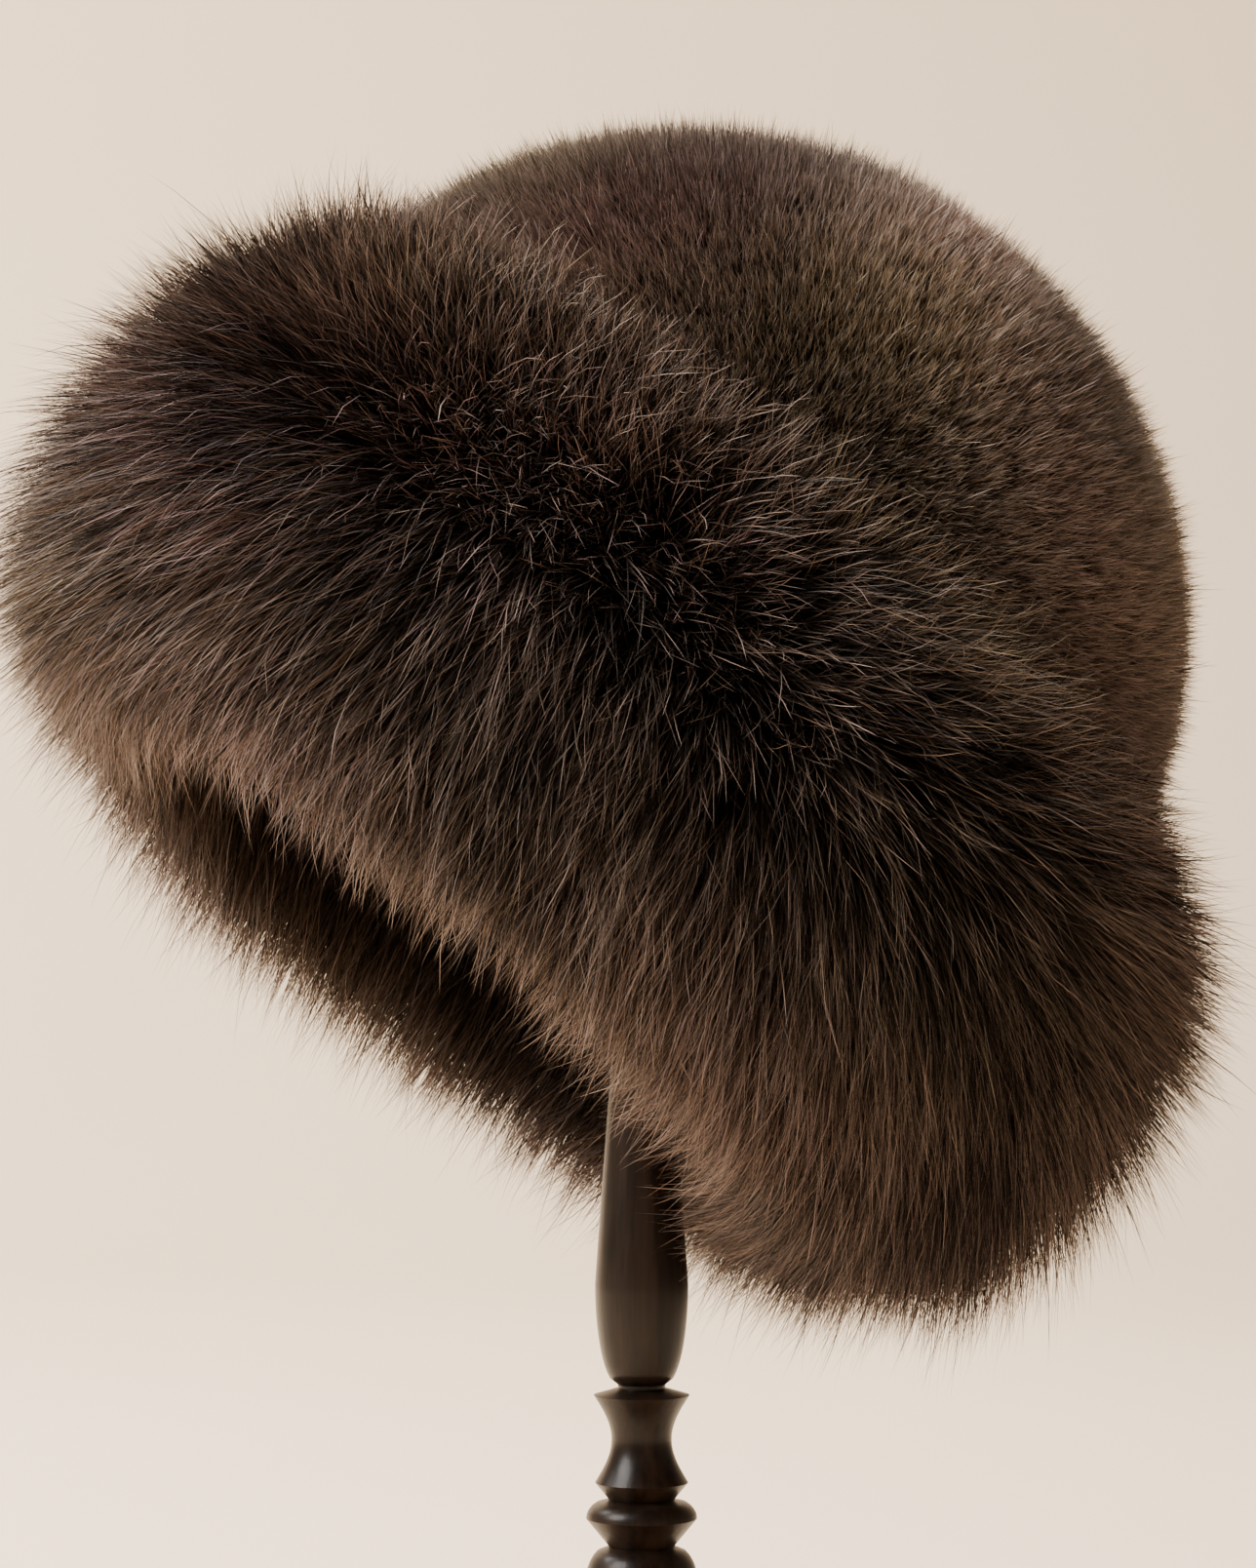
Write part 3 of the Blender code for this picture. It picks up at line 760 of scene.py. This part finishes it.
# Painted shade: the middle band of the fur's section is darkened, standing in for the shade deep between
# hairs seen end on, and the fur away from it is lightened a little.
PAINTED_SHADE_SLOPE = math.radians(-14)
PAINTED_SHADE_LIFT = 0.45
FIELD_SHADE = 0.5
# Painted light: the crest, lying over the crown where the top light falls, is lightened.
CREST_PAINTED_LIGHT = 1.1
# Painted light: the hem's inner side in the hat's mouth, where little light reaches, is lightened, most
# on the far side, and takes more pale hairs.
INNER_PAINTED_LIGHT = 1.5
INNER_PAINTED_LIGHT_FAR = 0.45
INNER_PAINTED_PALE = 0.75
# Painted light and shade: the hem's outer side is lightened at the front left, toward the key light, and
# darkened at the lower right, in the shade under the hat.
HEM_PAINTED_LIGHT = (
    # turns round the hat in degrees, and the painted light and shade that the hem's side takes there
    (0, 50, 90, 180, 214, 236, 266, 294, 314, 332, 360),
    (-0.7, 0, 0.3, 0.3, 0, 1.15, 0.3, 0.7, 0.2, -1.1, -0.7),
)
TUFT_SHADE = 0.75
WOOL_FRINGE = 0.10
FAR_WOOL = 0.12
LOCK_TURN = 2 * math.pi / 76
LOCK_SLOPE = math.radians(11)
LOCK_PULL = 0.20
FRINGE_PULL = 0.40
COMB_SLOPE = 0.05
COMB_TURN = 0.03
TOUSLE_SLOPE = 0.08
TOUSLE_TURN = 0.045
GATHER = (0.1, 0.8)
TUFT_SPREAD = 0.0027
TIP_SCATTER = 0.0034
HAIR_LENGTHS = (0.86, 1.05)
STRAY_SCATTER = 0.0045
FARTHEST_STRAY = 0.006
BEND_PLACE = 0.52
BEND_OUT = 0.9
BEND_ALONG = 0.7
BEND_SCATTER = 0.0044
HEM_DIVE = 2.7
DIVE_FROM = 0.62

# The long fur's colour along each hair: the near-black toward the root is partly the fur's own dark base
# and partly painted shade of the fur's depth.
fur_finish = hair_material(
    "long_fur",
    [
        (0.34, (0.0040, 0.0022, 0.0014)),
        (0.61, (0.0130, 0.0080, 0.0058)),
        (0.79, (0.0780, 0.0535, 0.0415)),
        (0.93, (0.2150, 0.1530, 0.1230)),
        (1.00, (0.1800, 0.1280, 0.1030)),
    ],
    [
        (0.35, (0.0060, 0.0036, 0.0026)),
        (0.68, (0.0400, 0.0280, 0.0212)),
        (1.00, (0.2700, 0.2000, 0.1620)),
    ],
    1.70, 0.60, 0.12,
)
# The under wool stays nearly black to the tip, partly its own dark colour and partly painted shade of
# the deep fur; its pale hairs show only on the hem's inner side, as painted light.
wool_finish = hair_material(
    "under_wool",
    [
        (0.45, (0.0035, 0.0019, 0.0013)),
        (0.80, (0.0100, 0.0056, 0.0037)),
        (1.00, (0.0260, 0.0155, 0.0105)),
    ],
    [
        (0.35, (0.0035, 0.0019, 0.0013)),
        (0.70, (0.0400, 0.0250, 0.0170)),
        (1.00, (0.1200, 0.0800, 0.0580)),
    ],
    0.8, 0.6, 0.2,
)


def even_slopes(chance, count):
    """Slopes and turns that are spread evenly over the fur's outer form."""
    table = np.linspace(LOW_SLOPE, HIGH_SLOPE, 400)
    reach, height = fur_form(np.zeros_like(table), table)
    step = np.hypot(np.diff(reach), np.diff(height)) * (reach[1:] + reach[:-1]) / 2
    run = np.concatenate([[0], np.cumsum(step)])
    slope = np.interp(chance.random(count) * run[-1], run, table)
    return slope, chance.uniform(0, 2 * math.pi, count)


def rising(slope, zone):
    """A share that rises from 0 to 1 as the slope crosses a zone given in degrees."""
    start, full = zone
    return np.clip((slope - math.radians(start)) / math.radians(full - start), 0, 1)


def scattered(chance, size, farthest, count):
    """Random offsets of a size, none more than so many sizes along any axis."""
    return size * np.clip(chance.normal(0, 1, (count, 3)), -farthest, farthest)


def lock_middles(turn, slope):
    """The middle of each tuft's lock: the fur parts into locks on a shifted, uneven grid."""
    row = np.floor(slope / LOCK_SLOPE)
    column = np.floor(turn / LOCK_TURN + 0.5 * (row % 2))
    uneven = np.sin(12.9 * column + 78.2 * row)
    lock_turn = (column + 0.5 - 0.5 * (row % 2) + 0.3 * uneven) * LOCK_TURN
    return lock_turn, (row + 0.5 + 0.3 * np.sin(37.7 * uneven)) * LOCK_SLOPE


for number, layer in enumerate(FUR_LAYERS):
    name, tufts, each, share_of_length, width, stations, stray, pale_share, painted_core_shade = layer
    chance = np.random.default_rng(70 + number)
    slope, turn = even_slopes(chance, tufts)
    waves = np.random.default_rng(9)
    comb_round = soft_waves(waves, turn, slope * 2, 7, 9)
    comb_down = soft_waves(waves, turn, slope * 2, 7, 8)
    fullness = soft_waves(waves, turn, slope * 2, 6, 7)
    inner, fringe = rising(-slope, INNER_ZONE), rising(-slope, FRINGE_ZONE)
    shade_field = FIELD_SHADE * soft_waves(waves, turn, slope * 3, 6, 8)
    # Painted shade on the middle band, over the fur's own random tone from the waves above.
    shade_field += painted_core_shade * (PAINTED_SHADE_LIFT - np.maximum(np.cos(slope - PAINTED_SHADE_SLOPE), 0) ** 2.5)
    # Painted light on the crest.
    shade_field += CREST_PAINTED_LIGHT * rising(slope, CREST_ZONE)
    # Painted light on the hem's inner side, most at the back.
    shade_field += INNER_PAINTED_LIGHT * inner * (1 - INNER_PAINTED_LIGHT_FAR + INNER_PAINTED_LIGHT_FAR * np.sin(turn))
    # Painted light and shade on the hem's outer side round the hat.
    shade_field += rising(-slope, HEM_ZONE) * np.interp(np.degrees(turn), *HEM_PAINTED_LIGHT)
    shade_field += chance.normal(0, TUFT_SHADE, tufts)
    tint_field = soft_waves(waves, turn, slope * 2, 6, 6)
    tuft_grow = share_of_length * (1 + 0.03 * fullness) * chance.uniform(0.96, 1.04, tufts)
    far = np.maximum(np.cos(turn - FAR_TURN), 0) ** 8
    tuft_grow *= 1 + fringe * (LOWER_LENGTH + FAR_LENGTH * far)
    if name == "brim_fur_under":
        tuft_grow *= 1 + WOOL_FRINGE * fringe - FAR_WOOL * inner * np.maximum(np.sin(turn), 0)
    middle = np.maximum(np.cos(slope - LOW_SIDE_SLOPE), 0) ** 4
    tuft_grow *= 1 + middle * LOW_SIDE_LENGTH * np.maximum(np.cos(turn), 0)
    tuft_grow *= 1 + HIGH_SIDE_LENGTH * np.sin(slope) * np.maximum(-np.cos(turn), 0) ** 2
    lock_turn, lock_slope = lock_middles(turn, slope)
    pull = LOCK_PULL + FRINGE_PULL * fringe
    tip_slope = slope + COMB_SLOPE * comb_down + chance.normal(0, TOUSLE_SLOPE, tufts)
    tip_slope += pull * (lock_slope - slope)
    tip_turn = turn + COMB_TURN * comb_round + chance.normal(0, TOUSLE_TURN, tufts)
    tip_turn += pull * (lock_turn - turn)
    tip_reach, tip_height = fur_form(tip_turn, tip_slope)
    drop = np.interp(np.degrees(slope), *ROOT_SPREAD)
    root_height = -ROOT_TOP - (BRIM_DROP - ROOT_TOP - ROOT_EDGE) * drop
    root_reach = np.where(slope < math.radians(-90), HEAD_RADIUS + INNER_ROOT, wall_outer)
    root_turn = turn + DROOP * np.where(slope < 0, 1.0, np.cos(slope)) * np.sin(turn)
    tuft_root = around(root_turn, root_reach, root_height)
    tuft_tip = around(tip_turn, tip_reach, tip_height)
    tuft_tip = tuft_root + (tuft_tip - tuft_root) * tuft_grow[:, None]
    owner = np.repeat(np.arange(tufts), each)
    hairs = len(owner)
    gather = chance.uniform(*GATHER, tufts)[owner][:, None]
    spread = scattered(chance, TUFT_SPREAD, 2, hairs)
    root = tuft_root[owner] + spread
    tip = tuft_tip[owner] + spread * (1 - gather) + scattered(chance, TIP_SCATTER, 1.9, hairs)
    tip = root + (tip - root) * chance.uniform(*HAIR_LENGTHS, hairs)[:, None]
    loose = chance.random(hairs) < stray
    astray = chance.normal(0, STRAY_SCATTER, (int(loose.sum()), 3))
    astray *= np.minimum(1, FARTHEST_STRAY / np.linalg.norm(astray, axis=1, keepdims=True))
    tip[loose] += astray
    length = np.linalg.norm(tip - root, axis=1, keepdims=True)
    outward = around(turn, np.ones(tufts), -HEM_DIVE * np.clip(drop - DIVE_FROM, 0, 1))[owner]
    onward = unit(BEND_OUT * unit(outward) + BEND_ALONG * unit(tip - root))
    bend = root + onward * length * BEND_PLACE + chance.normal(0, BEND_SCATTER, (hairs, 3))
    # Painted light: more pale hairs on the hem's inner side.
    pale_here = pale_share + INNER_PAINTED_PALE * inner[owner]
    column = hair_columns(chance, owner, shade_field, tint_field, pale_here)
    wide = width * chance.uniform(0.65, 1.25, hairs)
    finish = wool_finish if name == "brim_fur_under" else fur_finish
    fur = hair_piece(name, *blades(chance, root, bend, tip, wide, column, stations), finish)
    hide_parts("brim_fur")

# The studio: a pale sweep of paper under and behind the stand, a soft key light high on the left, a top
# light behind the hat, a light on the backdrop, and a level camera with a long lens.
SWEEP_COLOUR = (0.87, 0.690, 0.495)
SWEEP_SIZE = 9.0
SWEEP_FRONT = 3.5
SWEEP_FLOOR = 5.2
SWEEP_BEND = 0.9
LIGHT_COLOUR = (1.0, 0.972, 0.940)
WORLD_COLOUR = (1.0, 0.93, 0.86, 1.0)
CAMERA_BACK = 1.165
CAMERA_SIDE = -0.00304
CAMERA_HEIGHT = 0.270

paper, paper_tree, paper_shader = fresh_material("paper_sweep", 0.95, 0.1)
paper_place = paper_tree.nodes.new("ShaderNodeTexCoord").outputs["Object"]
mottle = noise(paper_tree, paper_place, 1.3, 2.0)
link(
    paper_tree,
    ramp(
        paper_tree,
        [(0.35, tuple(0.97 * c for c in SWEEP_COLOUR)), (0.65, tuple(1.02 * c for c in SWEEP_COLOUR))],
        mottle,
    ),
    paper_shader.inputs["Base Color"],
)
bpy.ops.object.select_all(action="DESELECT")
bpy.ops.mesh.primitive_grid_add(x_subdivisions=8, y_subdivisions=60, size=1, location=(0, 0, 0))
sweep = bpy.context.object
sweep.name = "paper_sweep"
bend_run = SWEEP_BEND * math.pi / 2
for corner in sweep.data.vertices:
    run = (corner.co.y + 0.5) * SWEEP_SIZE
    turn = min(max(run - SWEEP_FLOOR, 0.0), bend_run) / SWEEP_BEND
    back = min(run, SWEEP_FLOOR) + SWEEP_BEND * math.sin(turn) - SWEEP_FRONT
    rise = SWEEP_BEND * (1 - math.cos(turn)) + max(run - SWEEP_FLOOR - bend_run, 0.0)
    corner.co = (corner.co.x * SWEEP_SIZE, back, rise)
sweep.data.shade_smooth()
sweep.data.materials.append(paper)
sweep.select_set(False)

for name, place, target, size, power in (
    ("key_light", (-1.48, -0.72, 1.42), (0, 0, 0.30), 1.2, 66.0),
    ("top_light", (-0.45, 0.40, 1.65), (0, 0, 0.30), 1.2, 66.0),
    ("backdrop_light", (-1.4, 0.9, 1.9), (-1.2, 2.6, 0.20), 1.6, 116.0),
):
    lamp = bpy.data.lights.new(name, "AREA")
    lamp.shape = "DISK"
    lamp.size = size
    lamp.energy = power
    lamp.color = LIGHT_COLOUR
    holder = bpy.data.objects.new(name, lamp)
    bpy.context.scene.collection.objects.link(holder)
    holder.location = place
    holder.rotation_euler = (Vector(target) - Vector(place)).to_track_quat("-Z", "Y").to_euler()

world = bpy.data.worlds.new("studio")
world.use_nodes = True
world.node_tree.nodes["Background"].inputs["Color"].default_value = WORLD_COLOUR
world.node_tree.nodes["Background"].inputs["Strength"].default_value = 0.22
bpy.context.scene.world = world

lens = bpy.data.cameras.new("camera")
lens.lens = 120
lens.sensor_width = 36
lens.clip_start = 0.05
camera = bpy.data.objects.new("camera", lens)
bpy.context.scene.collection.objects.link(camera)
camera.location = (CAMERA_SIDE, -CAMERA_BACK, CAMERA_HEIGHT)
camera.rotation_euler = (math.radians(90), 0, 0)
bpy.context.scene.camera = camera
